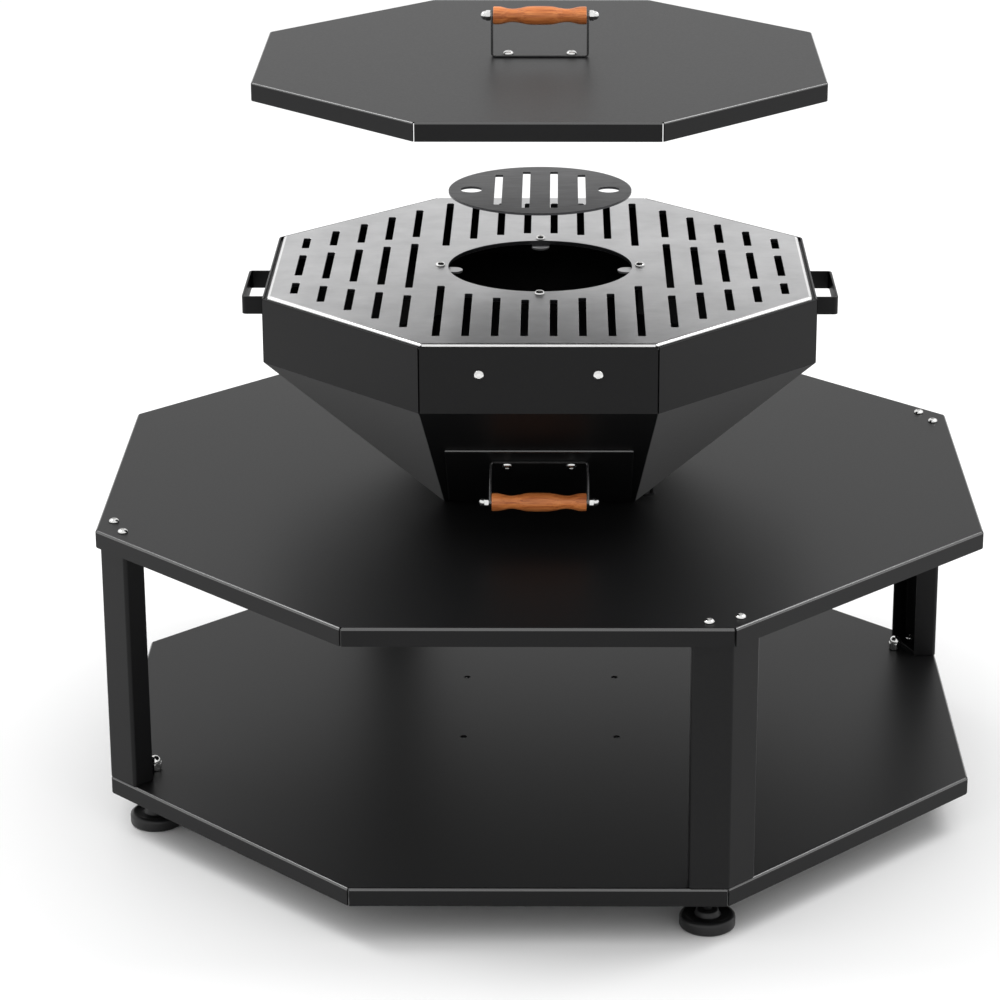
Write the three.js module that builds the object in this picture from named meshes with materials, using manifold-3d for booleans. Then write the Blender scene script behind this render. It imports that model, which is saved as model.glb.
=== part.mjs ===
// Octagonal charcoal fire bowl on a two-tier octagonal table, in millimetres, +Z up.
// Origin: on the floor under the centre. The front, with the ash drawer, faces -Y.
// At rest the lid and the round centre grate hang above the bowl, each on its own vertical slide.
import * as THREE from 'three';
import { mergeVertices } from 'three/addons/utils/BufferGeometryUtils.js';
import Module from 'manifold-3d';

const wasm = await Module();
wasm.setup();

// Driving dimensions
const GAP = 0.3; // left between faces that touch
const SMALL_SIDES = 8; // of a small hole or shank
const TABLE = { apothem: 600, top: 446, skirt: 25, sheet: 2.5 };
const SHELF = { apothem: 594, top: 81, skirt: 25, sheet: 2.5 };
const LEG = { flange: 52, lip: 32, sheet: 3, tab: 3 };
const LEG_ANGLES = { front_right: -67.5, back_right: 22.5, back_left: 112.5, front_left: -157.5 };
const LEG_BOLT = { radius: 617, offset: 22 }; // from the centre, and to each side of the leg's middle
const FOOT = { radius: 580, pad: 37, padHeight: 20, stud: 6, studTop: 94 };
const HOPPER = { apothem: 374, top: 654, base: 132, bottom: TABLE.top + GAP, sheet: 2.5 };
const BAND = { apothem: 374.4, top: 744.2, sheet: 3, ledge: 740.5, ledgeInner: 346 };
const GRILL = { apothem: 367.8, top: 746.5, bore: 127.5 };
const GRILL_SLOT = { width: 10.5, ease: 1.5 };
const CENTRE_GRATE = { radius: 126, top: 855, thickness: 3, slotCircle: 98 };
const FINGER_HOLE = { x: 94.6, radius: 15 };
const CHARCOAL_GRATE = { apothem: 294, bottom: 590, thickness: 5 };
const LID = { apothem: 380, top: 1041.3, skirt: 25, sheet: 2 };
const STRAP = { width: 25, sheet: 3 };
const HANDLE = { width: 15, inside: 127, gripHeight: 56, bolts: 43 };
const GRIP_RADII = [11.8, 12, 10.4, 9, 9.3, 10.9, 12.2, 12.5, 12.6]; // evenly spaced from an end to the middle
const M8 = { radius: 4, hole: 4.7, head: 7, headHeight: 4.4, nutFlats: 13, nutHeight: 6.5, thinNut: 4 };
const CAP_NUT = { hexHeight: 6.5, dome: 6, height: 13.5 };
const M12_NUT = { flats: 18, hexHeight: 11, height: 20, bore: 6.9, boreDepth: 15 };
const SHELF_HOLES = { spacing: 109, radius: 4.8 };
const DRAWER_FRONT = { half: 126, top: 571.7, bottom: 447.8, sheet: 3, handleDrop: 39 };
const DRAWER_TRAY = { half: 118, floor: 453, sheet: 2, back: 114, wallTop: 530 };
const DRAWER_MOUTH = { half: 120, top: 563 };
const DAMPER = { plate: [-20, 98, -119, -30], tab: [90, 160, -119, -97], level: 449.1, sheet: 2.4 };
const DAMPER_PIN = { radius: 2.5, top: 459 };
const AIR_HOLES = { x: -6, ys: [-100, -75, -50], radius: 9 };
const SIDE_HANDLE = { half: 65, reach: 410, level: 695.3 };
const BAND_BOLTS = { x: 77, z: 707 };
const CENTRE_SLOTS = { pitch: 38.3, inner: 168, outer: 332 };
const SIDE_SLOTS = { first: 178, pitch: 38.6, columns: 5 };
const GRATE_TAB = { inner: 107.5, outer: 152, bolt: 138.5 };

const coat = new THREE.MeshStandardMaterial({ color: 0x1b1b1c, roughness: 0.35, metalness: 0.2 });
const steel = new THREE.MeshStandardMaterial({ color: 0x8f9092, roughness: 0.3, metalness: 1 });
const blackSteel = new THREE.MeshStandardMaterial({ color: 0x3a3a3b, roughness: 0.4, metalness: 0.8 });
const bright = new THREE.MeshStandardMaterial({ color: 0xc8c9cb, roughness: 0.2, metalness: 1 });
const wood = new THREE.MeshStandardMaterial({ color: 0xa4552a, roughness: 0.5, metalness: 0 });
const rubber = new THREE.MeshStandardMaterial({ color: 0x202020, roughness: 0.7, metalness: 0 });

// Outlines
const radians = THREE.MathUtils.degToRad;

function arc(x, y, radius, from, to, steps) {
  const points = [];
  for (let i = 0; i <= steps; i++) {
    const angle = radians(from + ((to - from) * i) / steps);
    points.push([x + radius * Math.cos(angle), y + radius * Math.sin(angle)]);
  }
  return points;
}

function circle(x, y, radius, sides) {
  return arc(x, y, radius, 0, 360 - 360 / sides, sides - 1);
}

function octagon(apothem) {
  return arc(0, 0, apothem / Math.cos(radians(22.5)), 22.5, 337.5, 7);
}

function rectangle(x0, x1, y0, y1) {
  return [[x0, y0], [x1, y0], [x1, y1], [x0, y1]];
}

// A slot of round ends that runs along Y.
function slot(x, y0, y1, width) {
  const r = width / 2;
  return [...arc(x, y0 + r, r, 180, 360, 3), ...arc(x, y1 - r, r, 0, 180, 3)];
}

// A slot with eased corners that runs along Y.
function grillSlot(x, y0, y1) {
  const { width, ease } = GRILL_SLOT;
  const [left, right] = [x - width / 2, x + width / 2];
  return [
    [left, y0 + ease], [left + ease, y0], [right - ease, y0], [right, y0 + ease],
    [right, y1 - ease], [right - ease, y1], [left + ease, y1], [left, y1 - ease],
  ];
}

// Solids
function solid(geometry) {
  geometry.deleteAttribute('normal');
  geometry.deleteAttribute('uv');
  const merged = mergeVertices(geometry, 1e-4);
  const corners = Array.from(merged.index.array);
  const triVerts = [];
  for (let i = 0; i < corners.length; i += 3) {
    const [a, b, c] = corners.slice(i, i + 3);
    if (a !== b && b !== c && c !== a) triVerts.push(a, b, c);
  }
  return new wasm.Manifold(new wasm.Mesh({
    numProp: 3,
    vertProperties: new Float32Array(merged.attributes.position.array),
    triVerts: new Uint32Array(triVerts),
  }));
}

function prism(outline, z0, z1, holes = []) {
  const shape = new THREE.Shape(outline.map(([x, y]) => new THREE.Vector2(x, y)));
  const geometry = new THREE.ExtrudeGeometry(shape, { depth: z1 - z0, bevelEnabled: false });
  const body = solid(geometry.translate(0, 0, z0));
  return holes.reduce((rest, hole) => rest.subtract(prism(hole, z0 - 1, z1 + 1)), body);
}

function block(x0, x1, y0, y1, z0, z1) {
  return prism(rectangle(x0, x1, y0, y1), z0, z1);
}

function round(x, y, radius, z0, z1, sides = SMALL_SIDES) {
  return prism(circle(x, y, radius, sides), z0, z1);
}

// Turned about Z from points of radius and height, listed from the bottom up.
function turned(profile, sides) {
  const points = profile.map(([r, z]) => new THREE.Vector2(r, z));
  return solid(new THREE.LatheGeometry(points, sides).rotateX(Math.PI / 2));
}

function hexPrism(flats, z0, z1) {
  return round(0, 0, flats / 2 / Math.cos(Math.PI / 6), z0, z1, 6);
}

// A profile in Y and Z, drawn out along X to both sides of the middle.
function acrossX(profile, x0, x1) {
  return prism(profile, x0, x1).rotate([90, 0, 90]);
}

// Octagon above, square below, joined by four flat faces and four triangles.
function taper(apothem, top, half, bottom) {
  const rim = octagon(apothem).map(([x, y]) => [x, y, top]);
  const base = [[half, half], [-half, half], [-half, -half], [half, -half]].map(([x, y]) => [x, y, bottom]);
  const faces = [[8, 11, 10], [8, 10, 9]];
  for (let i = 1; i < 7; i++) faces.push([0, i, i + 1]);
  for (let i = 0; i < 4; i++) {
    const [low, nextLow] = [8 + i, 8 + ((i + 1) % 4)];
    const [high, nextHigh, thirdHigh] = [2 * i, 2 * i + 1, (2 * i + 2) % 8];
    faces.push([low, nextHigh, high], [low, nextLow, thirdHigh], [low, thirdHigh, nextHigh]);
  }
  return new wasm.Manifold(new wasm.Mesh({
    numProp: 3,
    vertProperties: new Float32Array([...rim, ...base].flat()),
    triVerts: new Uint32Array(faces.flat()),
  }));
}

// Scene graph helpers
function node(name, shape, material) {
  const { vertProperties, triVerts } = shape.getMesh();
  const geometry = new THREE.BufferGeometry();
  geometry.setAttribute('position', new THREE.BufferAttribute(new Float32Array(vertProperties), 3));
  geometry.setIndex(new THREE.BufferAttribute(new Uint32Array(triVerts), 1));
  geometry.computeVertexNormals();
  const mesh = new THREE.Mesh(geometry, material);
  mesh.name = name;
  return mesh;
}

function at(object, x, y, z) {
  object.position.set(x, y, z);
  return object;
}

// Fasteners: the origin is under the head, and the shank runs down -Z through the clamped sheets.
function buttonBolt(name, grip, nutHeight = M8.nutHeight, past = 1.5) {
  const end = -(grip + nutHeight + past);
  const r = M8.head;
  const h = M8.headHeight;
  const profile = [[0, end], [M8.radius, end], [M8.radius, 0], [r, 0], [0.8 * r, 0.7 * h], [0, h]];
  const shape = turned(profile, SMALL_SIDES).add(hexPrism(M8.nutFlats, -grip - nutHeight, -grip));
  return node(name, shape, bright);
}

// A closed pan: an octagonal top with a folded skirt, and round holes of one size.
function pan(size, holes, holeRadius) {
  const { apothem, top, skirt, sheet } = size;
  let shape = prism(octagon(apothem), top - skirt, top);
  shape = shape.subtract(prism(octagon(apothem - sheet), top - skirt - 1, top - sheet));
  for (const [x, y] of holes) shape = shape.subtract(round(x, y, holeRadius, top - sheet - 1, top + 1));
  return shape;
}

function turn([x, y], degrees) {
  const angle = radians(degrees);
  return [x * Math.cos(angle) - y * Math.sin(angle), x * Math.sin(angle) + y * Math.cos(angle)];
}

const legBoltsAt = (angle) => [-1, 1].map((side) => turn([LEG_BOLT.radius, side * LEG_BOLT.offset], angle));
const allLegBolts = Object.values(LEG_ANGLES).flatMap(legBoltsAt);

// Air comes up through one row of holes in the table top and in the hopper's floor on it.
function airHoles(shape) {
  const { x, ys, radius } = AIR_HOLES;
  const hole = (y) => round(x, y, radius, TABLE.top - 10, TABLE.top + 10);
  return ys.reduce((rest, y) => rest.subtract(hole(y)), shape);
}

// Table
function tableTop() {
  return node('table_top', airHoles(pan(TABLE, allLegBolts, M8.hole)), coat);
}

function lowerShelf() {
  let shape = pan(SHELF, allLegBolts, M8.hole);
  const [low, high] = [SHELF.top - SHELF.sheet - 1, SHELF.top + 1];
  for (const angle of Object.values(LEG_ANGLES)) {
    const [x, y] = turn([FOOT.radius, 0], angle);
    shape = shape.subtract(round(x, y, M12_NUT.bore, low, high));
  }
  for (const x of [-SHELF_HOLES.spacing, SHELF_HOLES.spacing]) {
    for (const y of [-SHELF_HOLES.spacing, SHELF_HOLES.spacing]) {
      shape = shape.subtract(round(x, y, SHELF_HOLES.radius, low, high));
    }
  }
  return node('lower_shelf', shape, coat);
}

// The leg is folded round one corner of the octagon: two flanges, each with a lip turned inwards,
// and a bolted tab at each end. It is drawn with its corner on +X and turned into place.
function leg(place, angle) {
  const corner = new THREE.Vector2(SHELF.apothem / Math.cos(radians(22.5)), 0);
  const foldedIn = (offset, along, depth) => {
    const normal = radians(offset * 22.5);
    const tangent = normal + (offset * Math.PI) / 2;
    return [
      corner.x + along * Math.cos(tangent) - depth * Math.cos(normal),
      along * Math.sin(tangent) - depth * Math.sin(normal),
    ];
  };
  const innerCorner = [corner.x - LEG.sheet / Math.cos(radians(22.5)), 0];
  const { flange, lip, sheet } = LEG;
  const half = (side) => [
    foldedIn(side, flange, lip),
    foldedIn(side, flange, 0),
  ];
  const halfInside = (side) => [
    foldedIn(side, flange - sheet, sheet),
    foldedIn(side, flange - sheet, lip),
  ];
  const outline = [
    ...half(-1), [corner.x, 0], ...half(1).reverse(),
    ...halfInside(1).reverse(), innerCorner, ...halfInside(-1),
  ];
  const bottom = SHELF.top + GAP;
  const top = TABLE.top - TABLE.sheet - GAP;
  const tabOutline = [
    foldedIn(-1, flange - 1, lip - 2), foldedIn(-1, flange - 1, 1), [corner.x - 1.2, 0],
    foldedIn(1, flange - 1, 1), foldedIn(1, flange - 1, lip - 2),
  ];
  const { radius, offset } = LEG_BOLT;
  const holes = [-1, 1].map((side) => circle(radius, side * offset, M8.hole, SMALL_SIDES));
  const shape = prism(outline, bottom, top)
    .add(prism(tabOutline, bottom, bottom + LEG.tab, holes))
    .add(prism(tabOutline, top - LEG.tab, top, holes));
  const mesh = node(`leg_${place}`, shape, coat);
  mesh.rotation.z = radians(angle);
  return mesh;
}

function footNut(place, angle) {
  const { flats, hexHeight, height, bore, boreDepth } = M12_NUT;
  const r = flats / 2;
  const dome = [[0, 0], [0.95 * r, 0], [0.95 * r, hexHeight], [0.75 * r, 0.85 * height], [0, height]];
  const shape = turned(dome, 12)
    .add(hexPrism(flats, 0, hexHeight))
    .subtract(round(0, 0, bore, -1, boreDepth));
  const [x, y] = turn([FOOT.radius, 0], angle);
  return at(node(`foot_nut_${place}`, shape, bright), x, y, SHELF.top + GAP);
}

function foot(place, angle) {
  const { pad, padHeight, stud, studTop } = FOOT;
  const profile = [
    [0, 0], [pad - 3, 0], [pad, 3], [pad, padHeight - 6], [pad - 4, padHeight - 2],
    [0.45 * pad, padHeight], [0.3 * pad, padHeight + 5], [stud, padHeight + 5],
    [stud, studTop], [0, studTop],
  ];
  const [x, y] = turn([FOOT.radius, 0], angle);
  return at(node(`foot_${place}`, turned(profile, 20), rubber), x, y, 0);
}

function table() {
  const group = new THREE.Group();
  group.add(tableTop(), lowerShelf());
  const clamped = TABLE.sheet + LEG.tab + 3 * GAP;
  for (const [place, angle] of Object.entries(LEG_ANGLES)) {
    group.add(leg(place, angle), footNut(place, angle), foot(place, angle));
    legBoltsAt(angle).forEach(([x, y], i) => {
      const side = i ? 'b' : 'a';
      const shelfHead = SHELF.top + LEG.tab + 2 * GAP;
      group.add(at(buttonBolt(`top_bolt_${place}_${side}`, clamped), x, y, TABLE.top + GAP));
      group.add(at(buttonBolt(`shelf_bolt_${place}_${side}`, clamped), x, y, shelfHead));
    });
  }
  return group;
}

// Bowl
const slope = (HOPPER.apothem - HOPPER.base) / (HOPPER.top - HOPPER.bottom);
const faceLength = Math.hypot(1, slope);
const downSlope = { y: slope / faceLength, z: -1 / faceLength };
const outward = { y: -1 / faceLength, z: -slope / faceLength };
const floorTop = HOPPER.bottom + HOPPER.sheet;

// Where the front face, moved outwards by a distance, passes a height.
function frontFace(z, distance = 0) {
  return -(HOPPER.base + slope * (z - HOPPER.bottom)) - distance * faceLength;
}

// The point on the front face at a height, moved outwards and then down the slope.
function offFace(z, out, down = 0) {
  return [frontFace(z) + out * outward.y + down * downSlope.y, z + out * outward.z + down * downSlope.z];
}

function hopper() {
  const over = 6; // the hollow runs this far past the rim
  const innerRim = HOPPER.apothem - HOPPER.sheet * faceLength + slope * over;
  const innerBase = -frontFace(floorTop, -HOPPER.sheet);
  const [x0, x1, y0, y1] = DAMPER.tab;
  const mouth = DRAWER_MOUTH;
  let shape = taper(HOPPER.apothem, HOPPER.top, HOPPER.base, HOPPER.bottom)
    .subtract(taper(innerRim, HOPPER.top + over, innerBase, floorTop))
    .subtract(block(-mouth.half, mouth.half, -300, -100, floorTop, mouth.top))
    .subtract(block(x0, x1, y0 - 1, y1 + 1, floorTop, DAMPER.level + DAMPER.sheet + 1));
  return node('bowl_hopper', airHoles(shape), coat);
}

function band() {
  const { apothem, top, sheet, ledge, ledgeInner } = BAND;
  const bottom = HOPPER.top + GAP;
  let shape = prism(octagon(apothem), bottom, top)
    .subtract(prism(octagon(apothem - sheet), bottom - 1, ledge - sheet))
    .subtract(prism(octagon(apothem - sheet), ledge, top + 1))
    .subtract(prism(octagon(ledgeInner), bottom - 1, top + 1));
  for (const x of [-BAND_BOLTS.x, BAND_BOLTS.x]) {
    const hole = round(0, 0, M8.hole, -10, 10).rotate([90, 0, 0]);
    shape = shape.subtract(hole.translate([x, -apothem, BAND_BOLTS.z]));
  }
  return node('bowl_band', shape, coat);
}

function bandBolt(name, x) {
  const mesh = at(buttonBolt(name, BAND.sheet + 2 * GAP), x, -BAND.apothem - GAP, BAND_BOLTS.z);
  mesh.rotation.x = Math.PI / 2;
  return mesh;
}

function sideHandle(name, side) {
  const inner = BAND.apothem + GAP;
  const { half, reach, level } = SIDE_HANDLE;
  const outline = [
    [inner, -half], [reach, -half], [reach, half], [inner, half],
    [inner, half - STRAP.sheet], [reach - STRAP.sheet, half - STRAP.sheet],
    [reach - STRAP.sheet, STRAP.sheet - half], [inner, STRAP.sheet - half],
  ];
  const mesh = node(name, prism(outline, level, level + STRAP.width), coat);
  mesh.rotation.z = side > 0 ? 0 : Math.PI;
  return mesh;
}

function charcoalGrate() {
  const { apothem, bottom, thickness } = CHARCOAL_GRATE;
  const slots = [];
  for (let x = -240; x <= 240; x += 40) {
    const far = Math.min(apothem - 20, apothem * Math.SQRT2 - Math.abs(x) - 28);
    slots.push(rectangle(x - 7, x + 7, 15, far), rectangle(x - 7, x + 7, -far, -15));
  }
  return node('charcoal_grate', prism(octagon(apothem), bottom, bottom + thickness, slots), blackSteel);
}

function airDamper() {
  const { plate, tab, level, sheet } = DAMPER;
  const { radius, top } = DAMPER_PIN;
  const shape = block(...plate, level, level + sheet)
    .add(block(...tab, level, level + sheet))
    .add(round(tab[1] - 2 * radius, (tab[2] + tab[3]) / 2, radius, level, top));
  return node('air_damper', shape, coat);
}

function bowl() {
  const group = new THREE.Group();
  group.add(hopper(), band(), charcoalGrate(), airDamper());
  group.add(sideHandle('side_handle_right', 1), sideHandle('side_handle_left', -1));
  group.add(bandBolt('band_bolt_left', -BAND_BOLTS.x), bandBolt('band_bolt_right', BAND_BOLTS.x));
  return group;
}

// A U-shaped strap handle with a turned grip on a rod. It stands up along +Z, and its grip lies along X.
function handle(owner, plateSheet, ...nut) {
  const group = new THREE.Group();
  const { inside, width, gripHeight } = HANDLE;
  const half = inside / 2;
  const outer = half + STRAP.sheet;
  const armTop = gripHeight + width / 2;
  const profile = [
    [-outer, 0], [outer, 0], [outer, armTop], [half, armTop],
    [half, STRAP.sheet], [-half, STRAP.sheet], [-half, armTop], [-outer, armTop],
  ];
  const roundedArms = acrossX(slot(0, -width, armTop, width), -outer, outer);
  let strap = prism(profile, -width / 2, width / 2).rotate([90, 0, 0]).intersect(roundedArms);
  for (const x of [-HANDLE.bolts, HANDLE.bolts]) strap = strap.subtract(round(x, 0, M8.hole, -1, 5));
  const rodHole = round(0, 0, M8.hole, -100, 100).rotate([0, 90, 0]);
  strap = strap.subtract(rodHole.translate([0, 0, gripHeight]));
  group.add(at(node(`${owner}_bracket`, strap, coat), 0, 0, GAP));

  const reach = half - GAP;
  const outside = GRIP_RADII.map((r, i) => [r, -reach + (reach * i) / (GRIP_RADII.length - 1)]);
  const mirrored = outside.slice(0, -1).reverse().map(([r, z]) => [r, -z]);
  const start = [M8.hole, -reach];
  const grip = turned([start, ...outside, ...mirrored, [M8.hole, reach], start], 12);
  const { hexHeight, dome, height } = CAP_NUT;
  const rod = [
    [0, -outer - height], [0.7 * dome, 0.1 * height - height - outer], [dome, -outer - hexHeight - 2],
    [M8.nutFlats / 2, -outer - hexHeight], [M8.nutFlats / 2, -outer - GAP], [M8.radius, -outer - GAP],
  ];
  const otherEnd = rod.slice().reverse().map(([r, z]) => [r, -z]);
  const pieces = [
    node(`${owner}_grip`, grip, wood),
    node(`${owner}_rod`, turned([...rod, ...otherEnd], SMALL_SIDES), bright),
  ];
  for (const mesh of pieces) {
    mesh.rotation.y = Math.PI / 2;
    group.add(at(mesh, 0, 0, gripHeight + GAP));
  }
  const clamped = STRAP.sheet + plateSheet + 3 * GAP;
  for (const [side, x] of [['left', -HANDLE.bolts], ['right', HANDLE.bolts]]) {
    group.add(at(buttonBolt(`${owner}_bolt_${side}`, clamped, ...nut), x, 0, STRAP.sheet + 2 * GAP));
  }
  return group;
}

// Ash drawer: its front lies on the hopper's sloping face, over the mouth that the tray goes in by.
function drawerTray() {
  const front = DRAWER_FRONT;
  const { half, floor, sheet, back, wallTop } = DRAWER_TRAY;
  const near = GAP;
  const far = GAP + front.sheet;
  const seam = (near + far) / 2; // the tray's sheets end in the thickness of the front
  const panel = acrossX([
    offFace(front.top, far), [frontFace(front.bottom, far), front.bottom],
    [frontFace(front.bottom, near), front.bottom], offFace(front.top, near),
  ], -front.half, front.half);
  const wall = [
    [frontFace(floor, seam), floor], [back, floor], [back, wallTop], [frontFace(wallTop, seam), wallTop],
  ];
  let shape = panel
    .add(block(-half, half, frontFace(floor + sheet / 2, seam), back, floor, floor + sheet))
    .add(block(-half, half, back - sheet, back, floor, wallTop))
    .add(acrossX(wall, -half, sheet - half))
    .add(acrossX(wall, half - sheet, half));
  const tilt = THREE.MathUtils.radToDeg(Math.atan2(downSlope.y, -downSlope.z));
  const [y, z] = offFace(front.top, far, front.handleDrop);
  for (const x of [-HANDLE.bolts, HANDLE.bolts]) {
    const hole = round(0, 0, M8.hole, -20, 20).rotate([-tilt, 0, 0]);
    shape = shape.subtract(hole.translate([x, y, z]));
  }
  return node('drawer_tray', shape, coat);
}

function ashDrawer() {
  const group = new THREE.Group();
  const { top, sheet, handleDrop } = DRAWER_FRONT;
  const grip = at(handle('drawer', sheet), 0, ...offFace(top, GAP + sheet, handleDrop));
  grip.rotation.x = Math.atan2(-downSlope.z, -downSlope.y);
  group.add(drawerTray(), grip);
  return group;
}

// Grill plate: straight slots along Y round a bore that the centre grate fills.
function grillSlots() {
  const slots = [];
  const bothWays = (x, y0, y1) => slots.push(grillSlot(x, y0, y1), grillSlot(x, -y1, -y0));
  for (const side of [-1, 1]) {
    for (let i = 0; i < 4; i++) {
      const x = side * CENTRE_SLOTS.pitch * (i + 0.5);
      bothWays(x, Math.sqrt(CENTRE_SLOTS.inner ** 2 - x ** 2), CENTRE_SLOTS.outer);
    }
    for (let i = 0; i < SIDE_SLOTS.columns; i++) {
      const x = SIDE_SLOTS.first + SIDE_SLOTS.pitch * i;
      const middle = 178.3 - 0.383 * x; // these two lines follow the slanting sides of the octagon
      slots.push(grillSlot(side * x, -middle, middle));
      bothWays(side * x, middle + 36, 471 - x);
    }
  }
  return slots;
}

function grill() {
  const group = new THREE.Group();
  const { apothem, top, bore } = GRILL;
  const angles = { right: 0, back: 90, left: 180, front: 270 };
  const holes = [circle(0, 0, bore, 48), ...grillSlots()];
  for (const angle of Object.values(angles)) {
    holes.push(circle(...turn([GRATE_TAB.bolt, 0], angle), M8.hole, SMALL_SIDES));
  }
  const bottom = BAND.ledge + GAP;
  group.add(node('grill_plate', prism(octagon(apothem), bottom, top, holes), steel));
  const end = STRAP.width / 2;
  const { inner, outer, bolt } = GRATE_TAB;
  const outline = [...arc(inner + end, 0, end, 90, 270, 6), [outer, -end], [outer, end]];
  const tab = prism(outline, 0, STRAP.sheet, [circle(bolt, 0, M8.hole, SMALL_SIDES)]);
  const tabTop = bottom - GAP;
  for (const [place, angle] of Object.entries(angles)) {
    const mesh = at(node(`grate_tab_${place}`, tab, steel), 0, 0, tabTop - STRAP.sheet);
    mesh.rotation.z = radians(angle);
    const [x, y] = turn([bolt, 0], angle);
    const grip = top + GAP - (tabTop - STRAP.sheet - GAP);
    group.add(mesh, at(buttonBolt(`tab_bolt_${place}`, grip), x, y, top + GAP));
  }
  return group;
}

function centreGrate() {
  const { radius, top, thickness, slotCircle } = CENTRE_GRATE;
  const holes = [-1.5, -0.5, 0.5, 1.5].map((column) => {
    const x = column * CENTRE_SLOTS.pitch;
    const reach = Math.sqrt(slotCircle ** 2 - x ** 2);
    return grillSlot(x, -reach, reach);
  });
  for (const side of [-1, 1]) holes.push(circle(side * FINGER_HOLE.x, 0, FINGER_HOLE.radius, 16));
  return node('centre_grate', prism(circle(0, 0, radius, 48), top - thickness, top, holes), blackSteel);
}

function lid() {
  const group = new THREE.Group();
  const holes = [[-HANDLE.bolts, 0], [HANDLE.bolts, 0]];
  group.add(node('lid_pan', pan(LID, holes, M8.hole), coat));
  group.add(at(handle('lid', LID.sheet, M8.thinNut, 0), 0, 0, LID.top));
  return group;
}

const group = new THREE.Group();
group.add(table(), bowl(), ashDrawer(), grill(), centreGrate(), lid());

export default group;
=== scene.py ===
import math

import bmesh
import bpy
from mathutils import Matrix, Vector
from mathutils.geometry import tessellate_polygon


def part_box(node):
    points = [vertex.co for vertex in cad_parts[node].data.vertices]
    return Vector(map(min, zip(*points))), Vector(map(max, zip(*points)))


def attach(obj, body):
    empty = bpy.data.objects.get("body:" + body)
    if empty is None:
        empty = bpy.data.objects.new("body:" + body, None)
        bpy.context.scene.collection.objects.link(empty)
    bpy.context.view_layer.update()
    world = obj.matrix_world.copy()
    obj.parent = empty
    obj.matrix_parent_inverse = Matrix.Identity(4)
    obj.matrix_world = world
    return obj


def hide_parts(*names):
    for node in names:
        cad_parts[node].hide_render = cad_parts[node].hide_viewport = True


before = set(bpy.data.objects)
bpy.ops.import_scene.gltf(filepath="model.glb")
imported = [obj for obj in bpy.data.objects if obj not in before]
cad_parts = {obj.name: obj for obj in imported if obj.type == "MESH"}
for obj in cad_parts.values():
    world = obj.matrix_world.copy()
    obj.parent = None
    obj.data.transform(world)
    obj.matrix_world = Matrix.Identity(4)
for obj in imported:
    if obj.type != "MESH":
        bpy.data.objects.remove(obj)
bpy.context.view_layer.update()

# Shapes are made in millimetres as (points, faces) and become metres when they become pieces.
MM = 0.001
TURN = 2 * math.pi
COS_EIGHTH = math.cos(math.radians(22.5))
TAN_EIGHTH = math.tan(math.radians(22.5))

CLEARANCE = 0.3
M8_HOLE = 4.7
HEAD_HEIGHT = 4.4
HEAD_RADIUS = 7
TABLE_SHEET = 2.5
TABLE_SLIT = 3.2
STUD_HOLE = 6.9
SHELF_HOLE = 4.8
SHELF_HOLE_PLACE = 109
LEG_FLANGE = 52
LEG_LIP = 32
LEG_SHEET = 3
HOPPER_SHEET = 2.5
LID_SHEET = 2
LID_SLIT = 2.6
STRAP_SHEET = 3
HANDLE_WIDTH = 15
HANDLE_INSIDE = 127
GRIP_HEIGHT = 56
HANDLE_BOLT = 43
HOPPER_BASE = 132
BAND_SHEET = 3
BAND_SLIT = 2.4
BAND_ROUND = 2.6
LEDGE_TOP = 740.5
LEDGE_INNER = 346
GRILL_BORE = 127.5
GRILL_EDGE = 4.8
FOLD_RADIUS = 3.4
LID_FOLD_RADIUS = 2.4
SLOT_WIDTH = 10.5
SLOT_PITCH = 38.3
TAB_INNER = 107.5
TAB_OUTER = 152
TAB_BOLT = 138.5
MOUTH_HALF = 120
MOUTH_TOP = 563
MOUTH_BOTTOM = 449.6
DRAWER_TOP = 571.7
DRAWER_LENGTH = 187
DRAWER_SHEET = 3
DRAWER_HANDLE_DROP = 39
TRAY_HALF = 118
TRAY_FLOOR = 453
TRAY_BACK = 114
TRAY_WALL_TOP = 530
TRAY_SHEET = 2
AIR_HOLES = [(-6, -100), (-6, -75), (-6, -50)]
AIR_HOLE_RADIUS = 9
DAMPER_TAB_Y = -108
DAMPER_TAB_HALF = 11
DAMPER_SHEET = 2.4
LEG_ANGLES = {"front_right": -67.5, "back_right": 22.5, "back_left": 112.5, "front_left": -157.5}
SIDE_ANGLES = {"right": 0, "back": 90, "left": 180, "front": 270}


def low(node):
    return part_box(node)[0] / MM


def high(node):
    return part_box(node)[1] / MM


def middle(node):
    return (low(node) + high(node)) / 2


# Combining and placing shapes

def joined(*shapes):
    points, faces = [], []
    for more_points, more_faces in shapes:
        first = len(points)
        points += more_points
        faces += [[first + i for i in face] for face in more_faces]
    return points, faces


def placed(shape, matrix):
    points, faces = shape
    return [matrix @ point for point in points], faces


def shifted(shape, x=0, y=0, z=0):
    return placed(shape, Matrix.Translation((x, y, z)))


def rotated(shape, degrees, axis="Z"):
    return placed(shape, Matrix.Rotation(math.radians(degrees), 4, axis))


# Outlines in the plane

def arc(x, y, radius, start, end, steps):
    points = []
    for i in range(steps + 1):
        angle = math.radians(start + (end - start) * i / steps)
        points.append(Vector((x + radius * math.cos(angle), y + radius * math.sin(angle))))
    return points


def circle(x, y, radius, sides=32):
    return arc(x, y, radius, 0, 360 - 360 / sides, sides - 1)


def rectangle(x0, x1, y0, y1):
    return [Vector((x0, y0)), Vector((x1, y0)), Vector((x1, y1)), Vector((x0, y1))]


def fillet(before, corner, after, radius, steps):
    """The arc that rounds off one corner of a path."""
    back = (before - corner).normalized()
    on = (after - corner).normalized()
    half = back.angle(on) / 2
    centre = corner + (back + on).normalized() * radius / math.sin(half)
    start = corner + back * radius / math.tan(half) - centre
    end = corner + on * radius / math.tan(half) - centre
    return [centre + start.lerp(end, i / steps).normalized() * radius for i in range(steps + 1)]


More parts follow.
